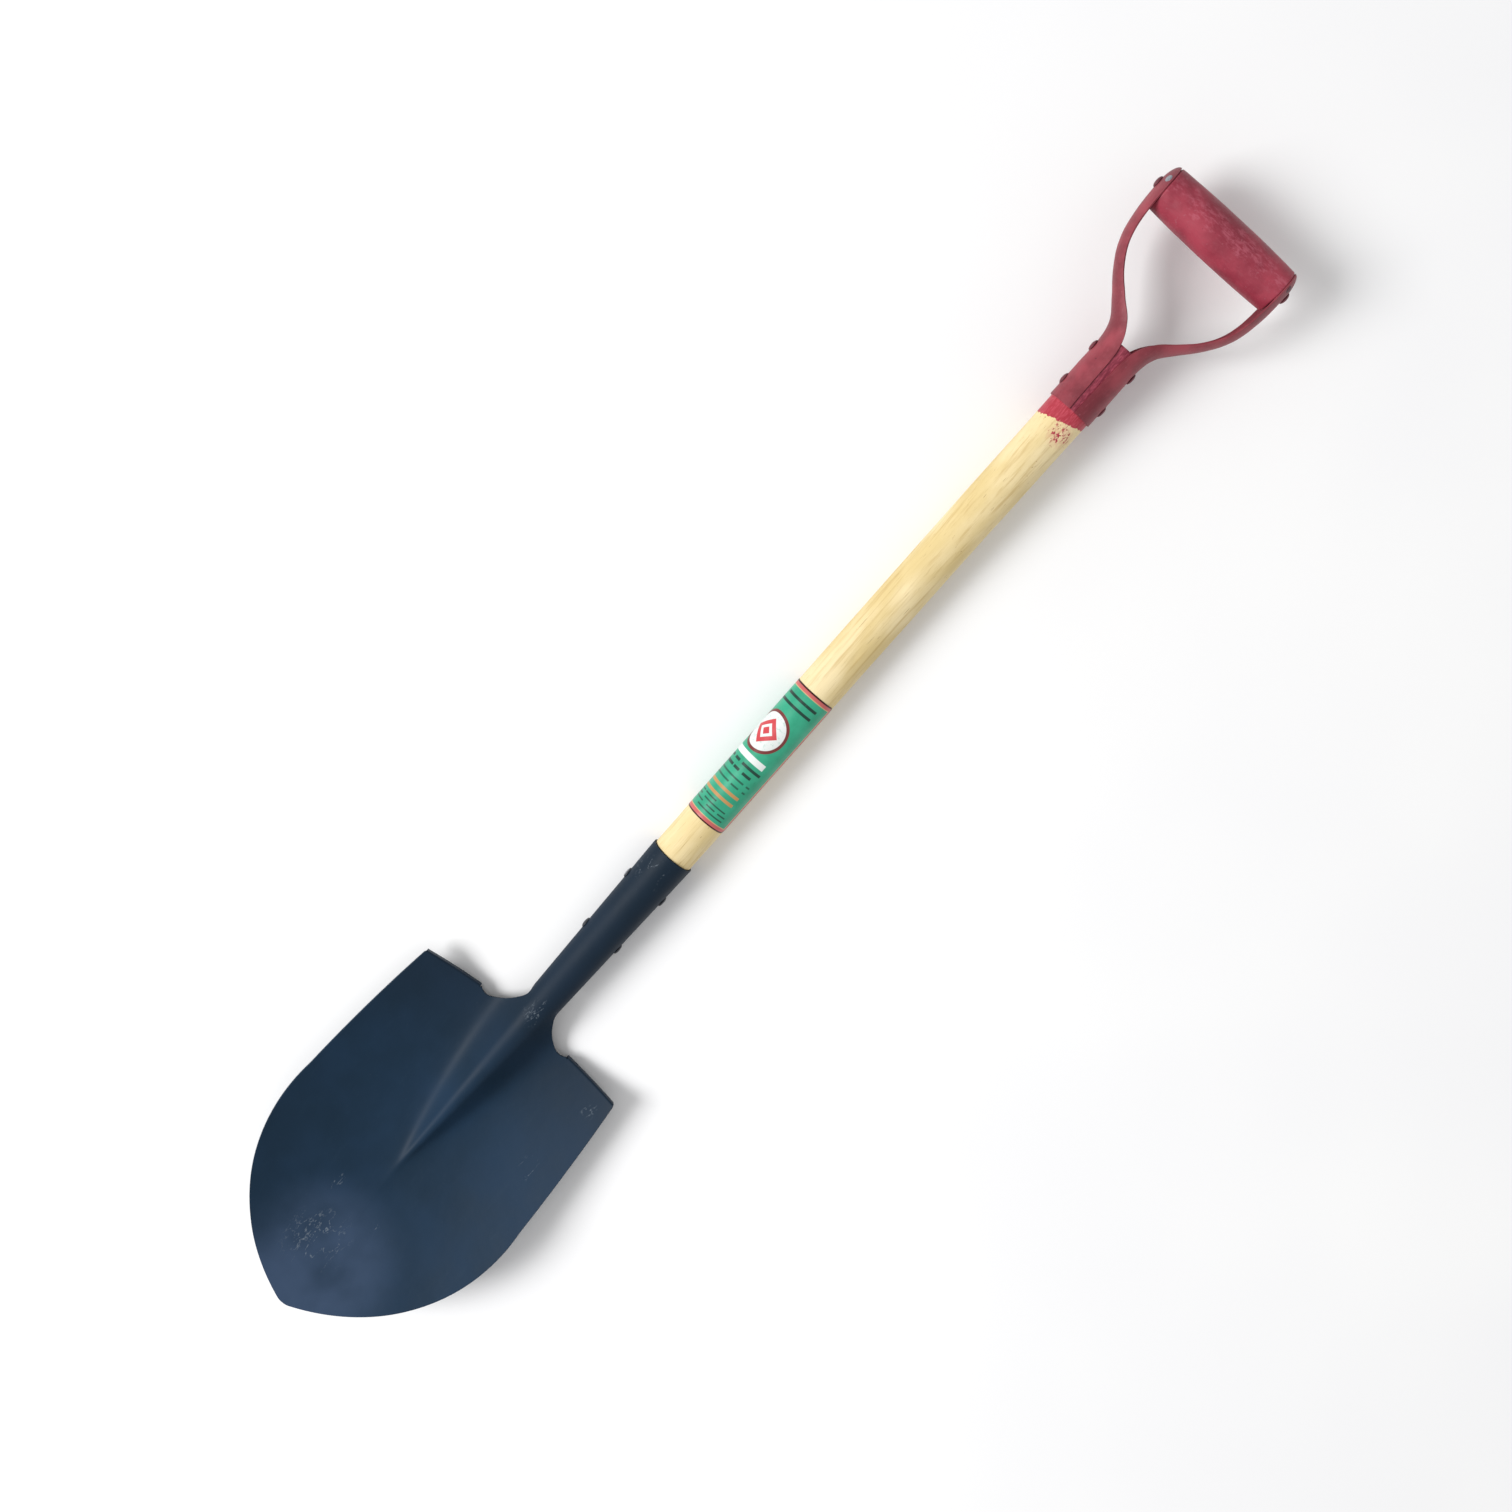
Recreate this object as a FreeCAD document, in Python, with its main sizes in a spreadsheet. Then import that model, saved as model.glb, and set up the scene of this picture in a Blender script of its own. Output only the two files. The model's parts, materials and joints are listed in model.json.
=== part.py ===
import FreeCAD, Part
import math
import os

from FreeCAD import Placement, Rotation, Vector

# A round-point digging shovel with a steel D-handle, lying on its back with the hollow of the
# blade upwards. It is drawn in the tool frame first: +X runs from the blade's tip along the
# socket's axis to the grip, +Y is the left side and +Z the front, with the socket's axis at
# Z = 0. The last step lays it down on the ground, with the origin under its middle.

SIZES = [
    # steel sheet of the blade and of the handle, and the gap left at every fit
    ("blade_sheet", 1.6),
    ("handle_sheet", 1.2),
    ("fit_gap", 0.05),
    # blade outline, seen from the front
    ("heel", 272.0),
    ("widest", 150.0),
    ("half_width", 100.6),
    ("heel_half_width", 90.1),
    ("side_radius", 140.6),
    ("side_centre", 131.4),
    ("side_bow", 1.3),
    ("tip_half_width", 5.0),
    ("nose_reach", 0.7),
    ("shoulder_slant", 1.3),
    ("relief", 42.5),
    ("relief_width", 13.2),
    ("relief_slant", 1.0),
    ("relief_dip", 3.0),
    ("flare_bow", 3.4),
    # how the pan is dished
    ("pan_low", 231.0),
    ("pan_depth", 14.0),
    ("pan_long_radius", 620.0),
    ("pan_cross_radius", 240.0),
    # the frog, the raised rib that runs up into the socket
    ("frog_start", 128.0),
    ("frog_start_radius", 2.5),
    ("frog_flank", 48.0),
    ("frog_start_blend", 2.0),
    ("frog_neck_blend", 6.0),
    ("tread_depth", 9.7),
    ("tread_lean", 12.0),
    # socket
    ("neck", 300.0),
    ("neck_radius", 13.7),
    ("neck_lap", 2.0),
    ("neck_inset", 0.6),
    ("mouth", 445.0),
    ("mouth_radius", 17.2),
    ("seam_width", 0.6),
    # shaft
    ("shaft_radius", 16.0),
    ("tenon_start", 318.0),
    ("mouth_gap", 0.4),
    ("bend_start", 633.0),
    ("bend_radius", 1500.0),
    ("bend_angle", 5.0),
    ("bend_to_yoke", 99.7),
    # handle, measured up the shaft from the bottom of the yoke
    ("yoke_length", 54.0),
    ("grip_axis", 144.5),
    ("grip_half_length", 50.4),
    ("grip_end_radius", 15.8),
    ("grip_mid_radius", 17.0),
    ("rod_radius", 3.2),
    ("rod_head_radius", 4.3),
    ("rod_head_height", 1.9),
    # rivets and nails
    ("rivet_radius", 2.5),
    ("rivet_head_radius", 4.2),
    ("rivet_head_height", 1.6),
    ("socket_rivet_low", 364.6),
    ("socket_rivet_high", 413.6),
    ("yoke_rivet_low", 13.0),
    ("yoke_rivet_high", 41.5),
    ("nail_radius", 1.1),
    ("nail_head_radius", 2.8),
    ("nail_head_height", 0.9),
    ("nail_length", 16.0),
    ("nail_along", 148.0),
    ("nail_half_width", 53.4),
    ("nail_front", 11.4),
    ("nail_tilt", 30.0),
    # label
    ("label_start", 481.5),
    ("label_end", 602.5),
    ("label_thickness", 0.2),
    ("label_wrap", 234.0),
    ("label_turn", 35.0),
]

doc = FreeCAD.newDocument("spade")
sheet = doc.addObject("Spreadsheet::Sheet", "Sizes")
for row, (alias, value) in enumerate(SIZES, start=1):
    sheet.set(f"A{row}", alias)
    sheet.set(f"B{row}", str(value))
    sheet.setAlias(f"B{row}", alias)
doc.recompute()


def size(alias):
    return float(getattr(sheet, alias))


def bind(feature, formulas):
    for prop, formula in formulas.items():
        feature.setExpression(prop, formula)
    return feature


def plane(body, role):
    return next(item for item in body.Origin.OriginFeatures if item.Role == role)


def sketch_on(body, name, role, offset=Placement()):
    sketch = body.newObject("Sketcher::SketchObject", name)
    sketch.AttachmentSupport = [(plane(body, role), "")]
    sketch.MapMode = "FlatFace"
    sketch.AttachmentOffset = offset
    return sketch


def coded(name, shape):
    feature = doc.addObject("Part::Feature", name)
    feature.Shape = shape
    return feature


def cut(name, base, tool):
    feature = doc.addObject("Part::Cut", name)
    feature.Base = base
    feature.Tool = tool
    return feature


def fuse(name, shapes):
    feature = doc.addObject("Part::MultiFuse", name)
    feature.Shapes = shapes
    return feature


# ---- the handle's own frame: its origin is on the shaft's axis at the bottom of the yoke ----

def handle_placement():
    turn = math.radians(size("bend_angle"))
    along = size("bend_to_yoke")
    origin = Vector(
        size("bend_start") + size("bend_radius") * math.sin(turn) + along * math.cos(turn),
        0,
        size("bend_radius") * (1 - math.cos(turn)) + along * math.sin(turn),
    )
    return Placement(origin, Rotation(Vector(0, 1, 0), -size("bend_angle")))


TOOL = Placement()
HANDLE = handle_placement()
ALONG_X = Rotation(Vector(0, 1, 0), 90)
ALONG_Y = Rotation(Vector(1, 0, 0), -90)


# ---- blade ----

def pan_height(x, y):
    bowl = (x - size("pan_low")) ** 2 / (2 * size("pan_long_radius"))
    dish = y**2 / (2 * size("pan_cross_radius"))
    return bowl + dish - size("pan_depth")


def up_the_frog(x, start, end):
    """A value that grows evenly from the frog's start to the neck and stays as it is beyond."""
    run = (x - size("frog_start")) / (size("neck") - size("frog_start"))
    return start + min(1, max(0, run)) * (end - start)


def frog_height(x, y):
    """A rib with a round crest and straight flanks, wider and higher towards the neck."""
    run = (x - size("frog_start")) / (size("neck") - size("frog_start"))
    start = pan_height(size("frog_start"), 0)
    crest = start + run * (size("neck_radius") - start)
    radius = up_the_frog(x, size("frog_start_radius"), size("neck_radius"))
    flank = math.radians(size("frog_flank"))
    edge = radius * math.sin(flank)
    if abs(y) < edge:
        return crest - radius + math.sqrt(radius**2 - y**2)
    return crest - radius * (1 - math.cos(flank)) - (abs(y) - edge) * math.tan(flank)


def front_height(x, y):
    """The front of the pressing: the pan and the frog, blended where they meet."""
    pan = pan_height(x, y)
    frog = frog_height(x, y)
    blend = up_the_frog(x, size("frog_start_blend"), size("frog_neck_blend"))
    return (pan + frog + math.hypot(pan - frog, blend)) / 2


def front_face():
    step = 4.0
    past = 6.0
    across = math.ceil((size("half_width") + past) / step)
    along = math.ceil((size("neck") + 2 * past) / step)
    rows = []
    for i in range(along + 1):
        x = i * step - past
        rows.append([Vector(x, j * step, front_height(x, j * step)) for j in range(-across, across + 1)])
    surface = Part.BSplineSurface()
    surface.interpolate(rows)
    return surface.toShape()


def side_point(y):
    """A point of the blade's curved side, on the front half, at the given half-width."""
    centre_y = size("half_width") - size("side_radius")
    reach = math.sqrt(size("side_radius") ** 2 - (y - centre_y) ** 2)
    return Vector(size("side_centre") - reach, y, 0)


def shoulder():
    """The outer and the inner end of the left shoulder, in plan."""
    outer = Vector(size("heel"), size("heel_half_width"), 0)
    inner = Vector(size("heel") + size("shoulder_slant"), size("relief"), 0)
    return outer, inner


def bowed(start, end, bow):
    """An arc from start to end whose middle stands off their line, to the left of it."""
    run = end - start
    aside = Vector(-run.y, run.x, 0).normalize()
    return Part.Arc(start, (start + end) / 2 + aside * bow, end).toShape()


def outline_edges():
    """The left half of the outline, from the tip round to the neck's edge."""
    tip = side_point(size("tip_half_width"))
    side = side_point(size("half_width") * 0.7)
    widest = Vector(size("widest"), size("half_width"), 0)
    corner, relief_out = shoulder()
    relief_in = relief_out - Vector(size("relief_slant"), size("relief_width"), 0)
    neck = Vector(size("neck") + size("neck_lap"), size("neck_radius") - size("neck_inset"), 0)
    return [
        Part.Arc(tip, side, widest).toShape(),
        bowed(widest, corner, size("side_bow")),
        Part.LineSegment(corner, relief_out).toShape(),
        bowed(relief_out, relief_in, -size("relief_dip")),
        bowed(relief_in, neck, -size("flare_bow")),
        Part.LineSegment(neck, Vector(neck.x, 0, 0)).toShape(),
    ]


def mirrored(shape):
    return shape.mirror(Vector(0, 0, 0), Vector(0, 1, 0))


REACH = 100.0


def outline_prism():
    left = outline_edges()
    tip = left[0].Vertexes[0].Point
    nose = Part.Arc(mirrored(Part.Vertex(tip)).Point, Vector(tip.x - size("nose_reach"), 0, 0), tip)
    edges = left + [mirrored(edge) for edge in left] + [nose.toShape()]
    wire = Part.Wire(Part.__sortEdges__(edges))
    wire.translate(Vector(0, 0, -REACH))
    return Part.Face(wire).extrude(Vector(0, 0, 2 * REACH))


def down_the_tread(depth):
    """The way from the shoulder's edge down the turned tread, which leans in under the pan."""
    return Vector(-math.tan(math.radians(size("tread_lean"))) * depth, 0, -depth)


def tread_slab():
    """A leaning slab as thick as the sheet, through both ends of the left shoulder."""
    outer, inner = shoulder()
    for end in (outer, inner):
        end.z = pan_height(end.x, end.y)
    back = Vector(-size("blade_sheet"), 0, 0)
    wire = Part.makePolygon([outer, inner, inner + back, outer + back, outer])
    wire.translate(down_the_tread(-REACH))
    return Part.Face(wire).extrude(down_the_tread(2 * REACH))


def blade():
    face = front_face()
    down = Vector(0, 0, -1)
    plate = face.extrude(down * size("blade_sheet"))
    pan = coded("pan", plate.common(outline_prism()))
    skirt = face.extrude(down * size("tread_depth"))
    left_tread = skirt.common(tread_slab())
    treads = [coded("left_tread", left_tread), coded("right_tread", mirrored(left_tread))]

    tube = doc.addObject("Part::Cone", "socket_outside")
    tube.Placement = Placement(Vector(), ALONG_X)
    bind(tube, {
        "Placement.Base.x": "Sizes.neck - 2 * Sizes.blade_sheet",
        "Radius1": "Sizes.neck_radius",
        "Radius2": "Sizes.mouth_radius",
        "Height": "Sizes.mouth - Sizes.neck + 2 * Sizes.blade_sheet",
    })
    bore = doc.addObject("Part::Cone", "socket_inside")
    bore.Placement = Placement(Vector(), ALONG_X)
    bind(bore, {
        "Placement.Base.x": "Sizes.neck - 2 * Sizes.blade_sheet",
        "Radius1": "Sizes.neck_radius - Sizes.blade_sheet",
        "Radius2": "Sizes.mouth_radius - Sizes.blade_sheet",
        "Height": "Sizes.mouth - Sizes.neck + 2 * Sizes.blade_sheet",
    })
    seam = doc.addObject("Part::Box", "socket_seam")
    bind(seam, {
        "Length": "Sizes.mouth - Sizes.neck + 2 * Sizes.mouth_radius",
        "Width": "Sizes.seam_width",
        "Height": "Sizes.mouth_radius",
        "Placement.Base.x": "Sizes.neck - Sizes.mouth_radius",
        "Placement.Base.y": "-Sizes.seam_width / 2",
        "Placement.Base.z": "-Sizes.mouth_radius - Sizes.blade_sheet",
    })
    pressing = fuse("pressing", [pan, *treads, tube])
    opened = cut("opened", pressing, fuse("openings", [bore, seam]))
    return cut("blade", opened, fuse("blade_holes", rivet_holes("socket", TOOL, "blade_hole")))


# ---- pins: rivets, nails and the grip's rod ----

def solid(kind, name, formulas, placement):
    feature = doc.addObject(kind, name)
    feature.Placement = placement
    return bind(feature, formulas)


def dome(name, radius_alias, height_alias, placement):
    return solid("Part::Ellipsoid", name, {
        "Radius1": f"Sizes.{height_alias}",
        "Radius2": f"Sizes.{radius_alias}",
        "Radius3": f"Sizes.{radius_alias}",
        "Angle1": "0 deg",
    }, placement)


def cross_pin(name, kind, frame, along, half_width):
    """A pin across the tool with a domed head at each end: kind names its sizes on the sheet."""
    stem = solid(
        "Part::Cylinder",
        f"{name}_stem",
        {"Radius": f"Sizes.{kind}_radius"},
        frame.multiply(Placement(Vector(along, -half_width, 0), ALONG_Y)),
    )
    stem.Height = 2 * half_width
    heads = []
    for end, turn in ((1, ALONG_Y), (-1, ALONG_Y.inverted())):
        spot = frame.multiply(Placement(Vector(along, end * half_width, 0), turn))
        heads.append(dome(f"{name}_head{len(heads)}", f"{kind}_head_radius", f"{kind}_head_height", spot))
    return fuse(name, [stem, *heads])


def cross_hole(name, kind, frame, along):
    """The hole that a cross pin sits in, through everything in its way."""
    hole = solid(
        "Part::Cylinder",
        name,
        {"Radius": f"Sizes.{kind}_radius + Sizes.fit_gap"},
        frame.multiply(Placement(Vector(along, -REACH, 0), ALONG_Y)),
    )
    hole.Height = 2 * REACH
    return hole


def group(name, members):
    compound = doc.addObject("Part::Compound", name)
    compound.Links = members
    return compound


def socket_radius(x):
    grown = (x - size("neck")) / (size("mouth") - size("neck"))
    return size("neck_radius") + grown * (size("mouth_radius") - size("neck_radius"))


def rivet_places(place):
    return [size(f"{place}_rivet_{end}") for end in ("low", "high")]


def rivet_holes(place, frame, name):
    return [cross_hole(f"{name}_{n}", "rivet", frame, x) for n, x in enumerate(rivet_places(place))]


def socket_rivets():
    pins = [
        cross_pin(f"socket_rivet_{n}", "rivet", TOOL, x, socket_radius(x))
        for n, x in enumerate(rivet_places("socket"))
    ]
    return group("socket_rivets", pins)


def yoke_rivets():
    outside = size("shaft_radius") + size("handle_sheet")
    pins = [
        cross_pin(f"yoke_rivet_{n}", "rivet", HANDLE, x, outside)
        for n, x in enumerate(rivet_places("yoke"))
    ]
    return group("yoke_rivets", pins)


# ---- shaft: a tapered tenon in the socket, a straight run, the bend and the upper run ----

def shaft():
    tenon = solid("Part::Cone", "tenon", {
        "Placement.Base.x": "Sizes.tenon_start",
        "Radius1": str(socket_radius(size("tenon_start")) - size("blade_sheet") - size("fit_gap")),
        "Radius2": "Sizes.mouth_radius - Sizes.blade_sheet - Sizes.fit_gap",
        "Height": "Sizes.mouth - Sizes.tenon_start",
    }, Placement(Vector(), ALONG_X))
    collar = solid("Part::Cylinder", "tenon_collar", {
        "Placement.Base.x": "Sizes.mouth",
        "Radius": "Sizes.mouth_radius - Sizes.blade_sheet - Sizes.fit_gap",
        "Height": "Sizes.mouth_gap",
    }, Placement(Vector(), ALONG_X))
    lower = solid("Part::Cylinder", "lower_run", {
        "Placement.Base.x": "Sizes.mouth + Sizes.mouth_gap",
        "Radius": "Sizes.shaft_radius",
        "Height": "Sizes.bend_start - Sizes.mouth - Sizes.mouth_gap",
    }, Placement(Vector(), ALONG_X))
    centre = Vector(size("bend_start"), 0, size("bend_radius"))
    swing = Placement(centre, Rotation(Vector(1, 0, 0), Vector(0, 0, 1), Vector(0, -1, 0)))
    start = Placement(Vector(), Rotation(Vector(0, 0, 1), -90))
    bend = solid("Part::Torus", "bend", {
        "Radius1": "Sizes.bend_radius",
        "Radius2": "Sizes.shaft_radius",
        "Angle3": "Sizes.bend_angle",
    }, swing.multiply(start))
    upper = solid("Part::Cylinder", "upper_run", {
        "Radius": "Sizes.shaft_radius",
        "Height": "Sizes.bend_to_yoke + Sizes.yoke_length - Sizes.handle_sheet",
    }, HANDLE.multiply(Placement(Vector(-size("bend_to_yoke"), 0, 0), ALONG_X)))
    stick = fuse("stick", [tenon, collar, lower, bend, upper])
    holes = rivet_holes("socket", TOOL, "tenon_hole") + rivet_holes("yoke", HANDLE, "shaft_hole")
    return cut("shaft", stick, fuse("shaft_holes", holes))


# ---- handle: two pressed halves, each a half-shell on the shaft that runs out into an arm ----

# Stations along one arm, from the bottom of the yoke to the grip's axis: place along the
# shaft, half-width over the arm, direction of the arm in degrees, depth front to back, and
# how far the outside bulges beyond its two edges.
ARM_STATIONS = [
    (0.0, 17.25, 0, 34.2, 15.0),
    (25.0, 17.25, 0, 34.0, 14.4),
    (48.0, 17.3, 3, 33.4, 13.2),
    (61.0, 20.6, 33, 29.8, 9.4),
    (72.0, 29.3, 42, 26.0, 6.6),
    (84.0, 39.8, 38, 24.0, 5.3),
    (97.0, 48.6, 25, 23.8, 4.9),
    (111.0, 53.8, 11, 25.0, 5.0),
    (128.0, 56.2, 4, 28.0, 5.2),
    (144.5, 56.8, 0, 31.2, 5.6),
]
CAP_STEPS = 9
CAP_SWEEP = 72.0


def between(before, start, end, after, share):
    """A smooth value between start and end, which takes its slope from their neighbours."""
    rise_in = (end - before) / 2
    rise_out = (after - start) / 2
    back = start - end
    bend = 2 * back + rise_in + rise_out
    lean = -3 * back - 2 * rise_in - rise_out
    return start + share * (rise_in + share * (lean + share * bend))


def fine_stations(steps=4):
    ends = [ARM_STATIONS[0], *ARM_STATIONS, ARM_STATIONS[-1]]
    fine = []
    for four in zip(ends, ends[1:], ends[2:], ends[3:]):
        for step in range(steps):
            fine.append([between(*values, step / steps) for values in zip(*four)])
    return fine + [ARM_STATIONS[-1]]


def cap_stations():
    """The dished end that closes over the grip: its sections shrink as round a ball."""
    along, half_width, heading, depth, bulge = ARM_STATIONS[-1]
    cap = []
    for step in range(1, CAP_STEPS + 1):
        angle = math.radians(CAP_SWEEP * step / CAP_STEPS)
        shrink = math.cos(angle)
        place = along + size("grip_end_radius") * math.sin(angle)
        cap.append((place, half_width - bulge * (1 - shrink), heading, depth * shrink, bulge * shrink))
    return cap


def arm_section(along, half_width, heading, depth, bulge):
    """The C of one station: an outer and an inner arc, a sheet's thickness apart."""
    turn = math.radians(heading)
    outward = Vector(-math.sin(turn), math.cos(turn), 0)
    front = Vector(0, 0, depth / 2)
    crown = Vector(along, half_width, 0)
    radius = (depth**2 / 4 + bulge**2) / (2 * bulge)
    centre = crown - outward * radius
    edge = crown - outward * bulge + front
    shrink = (radius - size("handle_sheet")) / radius
    outer = [edge, crown, edge - front * 2]
    inner = [centre + (point - centre) * shrink for point in outer]
    return Part.Wire([
        Part.Arc(*outer).toShape(),
        Part.LineSegment(outer[2], inner[2]).toShape(),
        Part.Arc(*reversed(inner)).toShape(),
        Part.LineSegment(inner[0], outer[0]).toShape(),
    ])


def arm(name, side):
    """One half of the handle; side is 1 on the left and -1 on the right."""
    sections = [arm_section(*station) for station in fine_stations() + cap_stations()]
    half = Part.makeLoft(sections, True, True)
    if side < 0:
        half = mirrored(half)
    pressed = coded(f"{name}_pressed", half)
    pressed.Placement = HANDLE
    holes = rivet_holes("yoke", HANDLE, f"{name}_hole")
    holes.append(cross_hole(f"{name}_rod_hole", "rod", HANDLE, size("grip_axis")))
    holes.append(nail_hole(name, side))
    return cut(name, pressed, fuse(f"{name}_holes", holes))


# ---- grip, its rod and its nails ----

def grip():
    body = doc.addObject("PartDesign::Body", "grip_turned")
    profile = sketch_on(body, "grip_profile", "XY_Plane")
    half = size("grip_half_length")
    bore = size("rod_radius") + size("fit_gap")
    end = size("grip_end_radius")
    corners = [Vector(end, -half, 0), Vector(bore, -half, 0), Vector(bore, half, 0), Vector(end, half, 0)]
    for start, finish in zip(corners, corners[1:]):
        profile.addGeometry(Part.LineSegment(start, finish))
    profile.addGeometry(Part.Arc(corners[3], Vector(size("grip_mid_radius"), 0, 0), corners[0]))
    turned = body.newObject("PartDesign::Revolution", "grip_solid")
    turned.Profile = profile
    turned.ReferenceAxis = (profile, ["V_Axis"])
    turned.Angle = 360
    body.Placement = HANDLE.multiply(Placement(Vector(size("grip_axis"), 0, 0), Rotation()))
    holes = [nail_hole(f"grip_{name}", side) for name, side in (("left", 1), ("right", -1))]
    return cut("grip", body, fuse("grip_holes", holes))


def grip_rod():
    half_width = next(row[1] for row in ARM_STATIONS if row[0] == size("grip_axis"))
    return cross_pin("grip_rod", "rod", HANDLE, size("grip_axis"), half_width)


def nail_placement(side):
    """A nail's head lies on the arm's front shoulder; its +Z points out of the head."""
    tilt = math.radians(size("nail_tilt"))
    base = Vector(size("nail_along"), side * size("nail_half_width"), size("nail_front"))
    outward = Vector(0, side * math.cos(tilt), math.sin(tilt))
    return HANDLE.multiply(Placement(base, Rotation(Vector(0, 0, 1), outward)))


def nail_stem(name, side, radius_formula, length_formula):
    placement = nail_placement(side)
    length = size("nail_length")
    lowered = placement.multiply(Placement(Vector(0, 0, -length), Rotation()))
    return solid("Part::Cylinder", name, {"Radius": radius_formula, "Height": length_formula}, lowered)


def nail_hole(name, side):
    radius = "Sizes.nail_radius + Sizes.fit_gap"
    return nail_stem(f"{name}_nail_hole", side, radius, "Sizes.nail_length + 2 * Sizes.nail_head_radius")


def nail(name, side):
    stem = nail_stem(f"{name}_stem", side, "Sizes.nail_radius", "Sizes.nail_length")
    head = dome(f"{name}_head", "nail_head_radius", "nail_head_height", nail_placement(side))
    return fuse(name, [stem, head])


def grip_nails():
    return group("grip_nails", [nail("left_nail", 1), nail("right_nail", -1)])


# ---- label ----

def label():
    start = 180 - size("label_turn") - size("label_wrap") / 2
    turned = Placement(Vector(size("label_start"), 0, 0), Rotation(Vector(1, 0, 0), start))
    upright = turned.multiply(Placement(Vector(), ALONG_X))
    sizes = {"Height": "Sizes.label_end - Sizes.label_start", "Angle": "Sizes.label_wrap"}
    outside = solid("Part::Cylinder", "label_outside", {
        "Radius": "Sizes.shaft_radius + Sizes.fit_gap + Sizes.label_thickness",
        **sizes,
    }, upright)
    inside = solid("Part::Cylinder", "label_inside", {
        "Radius": "Sizes.shaft_radius + Sizes.fit_gap",
        **sizes,
    }, upright)
    return cut("label", outside, inside)


NODES = [
    blade(),
    shaft(),
    socket_rivets(),
    label(),
    arm("left_arm", 1),
    arm("right_arm", -1),
    yoke_rivets(),
    grip(),
    grip_rod(),
    grip_nails(),
]
doc.recompute()
for feature in doc.Objects:
    broken = {"Invalid", "Error"} & set(feature.State)
    if broken:
        raise RuntimeError(f"{feature.Name}: {broken}")


# ---- lay it on its back: it rests on the two treads and on the start of the shaft's bend ----

def lying():
    foot = shoulder()[1] + down_the_tread(size("tread_depth")) - Vector(size("blade_sheet"), 0, 0)
    tread = Vector(foot.x, 0, front_height(foot.x, foot.y) - size("tread_depth"))
    centre = Vector(size("bend_start"), 0, size("bend_radius"))
    sight = centre - tread
    reach = size("bend_radius") + size("shaft_radius")
    pitch = math.degrees(math.atan2(sight.z, sight.x) - math.asin(reach / sight.Length))
    turned = Placement(Vector(), Rotation(Vector(0, 1, 0), pitch))
    whole = Part.makeCompound([node.Shape for node in NODES])
    whole.Placement = turned
    box = whole.optimalBoundingBox(False, False)
    middle = Vector((box.XMin + box.XMax) / 2, 0, box.ZMin)
    return Placement(middle * -1, Rotation()).multiply(turned)


LYING = lying()
for node in NODES:
    node.Placement = LYING.multiply(node.Placement)
doc.recompute()

os.makedirs("parts", exist_ok=True)
for node in NODES:
    shape = node.Shape
    if shape.isNull() or not shape.isValid():
        raise RuntimeError(f"{node.Name} is not a valid shape")
    shape.exportStep(f"parts/{node.Name}.step")
    box = shape.optimalBoundingBox(False, False)
    print(f"{node.Name:15s} {len(shape.Solids)} solids, {shape.Volume / 1000:8.2f} cm3, z from {box.ZMin:7.2f}")
print("lying placement", LYING)
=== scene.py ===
import json
import math

import bpy
from mathutils import Matrix, Vector, noise


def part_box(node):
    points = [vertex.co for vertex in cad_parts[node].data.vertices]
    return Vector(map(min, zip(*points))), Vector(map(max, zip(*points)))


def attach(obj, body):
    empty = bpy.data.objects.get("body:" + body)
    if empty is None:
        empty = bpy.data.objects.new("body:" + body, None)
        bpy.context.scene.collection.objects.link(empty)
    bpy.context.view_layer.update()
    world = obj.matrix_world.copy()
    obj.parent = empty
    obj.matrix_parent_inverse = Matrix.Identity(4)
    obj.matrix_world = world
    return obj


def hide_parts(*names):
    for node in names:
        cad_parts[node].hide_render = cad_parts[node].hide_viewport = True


# A round-point shovel lying on its back on a pale studio floor. Shapes are worked out in
# millimetres, either in the tool frame (+X from the blade's tip along the socket's axis) or in
# the handle frame (+X up the shaft from the bottom of the yoke), and are placed in metres.

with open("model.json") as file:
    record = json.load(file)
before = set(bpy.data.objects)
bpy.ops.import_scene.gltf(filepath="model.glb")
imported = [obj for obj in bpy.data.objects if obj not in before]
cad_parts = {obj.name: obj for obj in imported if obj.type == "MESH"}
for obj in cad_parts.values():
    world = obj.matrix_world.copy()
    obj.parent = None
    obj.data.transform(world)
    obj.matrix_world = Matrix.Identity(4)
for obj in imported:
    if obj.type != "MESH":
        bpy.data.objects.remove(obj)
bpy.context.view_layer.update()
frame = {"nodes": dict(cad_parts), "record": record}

MM = 0.001
MOUNTS = {mount["name"]: mount for mount in frame["record"]["mounts"]}


def frame_at(mount, along):
    """The frame with Z along a mount's axis and its origin that far down the tool from it."""
    up = Vector(mount["axis"]).normalized()
    forward = Vector((up.z, 0, -up.x))
    origin = Vector(mount["pos_m"]) - forward * along * MM
    turn = Matrix((forward, Vector((0, 1, 0)), up)).transposed()
    return Matrix.Translation(origin) @ turn.to_4x4()


TOOL = frame_at(MOUNTS["shaft_clip"], 618.0)
HANDLE = frame_at(MOUNTS["hanging_loop"], 100.0)


# ---- small helpers for shapes ----

def smooth(value, low, high):
    """0 below low, 1 above high, and an even S between them."""
    share = min(1.0, max(0.0, (value - low) / (high - low)))
    return share * share * (3 - 2 * share)


def blend(start, end, share):
    return start + (end - start) * share


def steps(start, end, count):
    """count + 1 even steps from start to end, both included."""
    return [blend(start, end, i / count) for i in range(count + 1)]


def circle_through(a, b, c):
    """Centre and radius of the circle through three points of the plan."""
    u = b - a
    v = c - a
    double_area = 2 * (u.x * v.y - u.y * v.x)
    centre = a + Vector((
        v.y * u.length_squared - u.y * v.length_squared,
        u.x * v.length_squared - v.x * u.length_squared,
    )) / double_area
    return centre, (centre - a).length


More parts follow.
